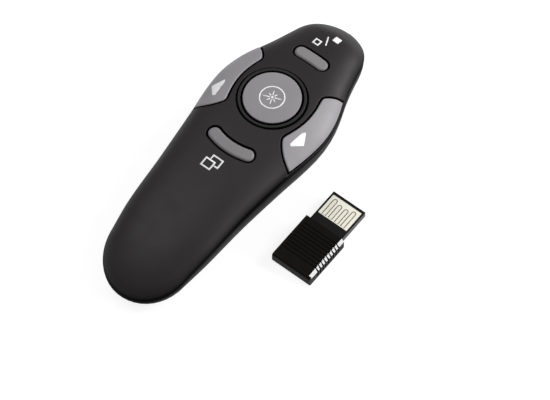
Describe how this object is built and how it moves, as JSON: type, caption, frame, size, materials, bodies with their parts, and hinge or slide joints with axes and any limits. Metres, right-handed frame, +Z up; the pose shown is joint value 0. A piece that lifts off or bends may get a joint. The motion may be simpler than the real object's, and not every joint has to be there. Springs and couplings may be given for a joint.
{
  "type": "presentation clicker",
  "caption": "Handheld wireless presentation clicker with round laser button, side and small keys, sliding battery cover, and a separate USB receiver.",
  "frame": {"origin": "centre of the flat rest patch under the handset, on the table", "axes": "+X to the right seen from above with the laser end ahead, +Y towards the laser end, +Z up"},
  "size_m": [0.0601, 0.112, 0.0253],
  "materials": {
    "soft_black": "soft-touch black, fine grain",
    "ring_black": "satin black",
    "key_grey": "satin mid grey",
    "side_grey": "satin light grey",
    "board_green": "solder mask",
    "chip_black": "moulded epoxy",
    "steel": "plated",
    "brass": "turned",
    "bezel": "polished",
    "lens_red": "clear red",
    "cell_skin": "printed sleeve, left plain",
    "red_wire": "PVC",
    "black_wire": "PVC",
    "part_tan": "chip parts",
    "receiver_black": "semi-gloss black",
    "plug_metal": "satin black",
    "tongue_cream": "cream",
    "pad_gold": "gold plate"
  },
  "bodies": {
    "handset": {"top_cover": "soft_black", "bottom_cover": "soft_black", "button_ring": "ring_black", "tact_switches": "steel", "circuit_board": "board_green", "radio_chip": "chip_black", "crystal_can": "steel", "chip_parts": "part_tan", "left_cell": "cell_skin", "right_cell": "cell_skin", "contact_coils": "steel", "contact_bridge": "steel", "contact_tabs": "steel", "red_lead": "red_wire", "black_lead": "black_wire", "laser_leads": "red_wire", "laser_module": "brass", "laser_bezel": "bezel", "laser_lens": "lens_red", "case_screws": "steel"},
    "laser_key": {"laser_button": "key_grey", "laser_plunger": "chip_black"},
    "prev_key": {"prev_button": "side_grey", "prev_plunger": "chip_black"},
    "next_key": {"next_button": "side_grey", "next_plunger": "chip_black"},
    "screen_key": {"screen_button": "key_grey", "screen_plunger": "chip_black"},
    "window_key": {"window_button": "key_grey", "window_plunger": "chip_black"},
    "bay_door": {"battery_cover": "soft_black"},
    "receiver": {"receiver_shell": "receiver_black", "receiver_end": "receiver_black", "receiver_plug": "plug_metal", "receiver_tongue": "tongue_cream", "receiver_pads": "pad_gold", "receiver_chip": "chip_black"}
  },
  "joints": [
    {"name": "laser_button_press", "type": "slide", "parent": "handset", "child": "laser_key", "axis": [0, 0, -1], "range_m": [0, 0.0005], "stiffness_N_per_m": 1200, "springref_m": -0.0006},
    {"name": "prev_button_press", "type": "slide", "parent": "handset", "child": "prev_key", "axis": [0, 0, -1], "range_m": [0, 0.0005], "stiffness_N_per_m": 1200, "springref_m": -0.0006},
    {"name": "next_button_press", "type": "slide", "parent": "handset", "child": "next_key", "axis": [0, 0, -1], "range_m": [0, 0.0005], "stiffness_N_per_m": 1200, "springref_m": -0.0006},
    {"name": "screen_button_press", "type": "slide", "parent": "handset", "child": "screen_key", "axis": [0, 0, -1], "range_m": [0, 0.0005], "stiffness_N_per_m": 1200, "springref_m": -0.0006},
    {"name": "window_button_press", "type": "slide", "parent": "handset", "child": "window_key", "axis": [0, 0, -1], "range_m": [0, 0.0005], "stiffness_N_per_m": 1200, "springref_m": -0.0006},
    {"name": "battery_cover_slide", "type": "slide", "parent": "handset", "child": "bay_door", "axis": [0, -1, 0], "range_m": [0, 0.07]},
    {"name": "receiver_lift", "type": "slide", "parent": "handset", "child": "receiver", "axis": [0, 0, 1], "range_m": [0, 0.04]}
  ]
}
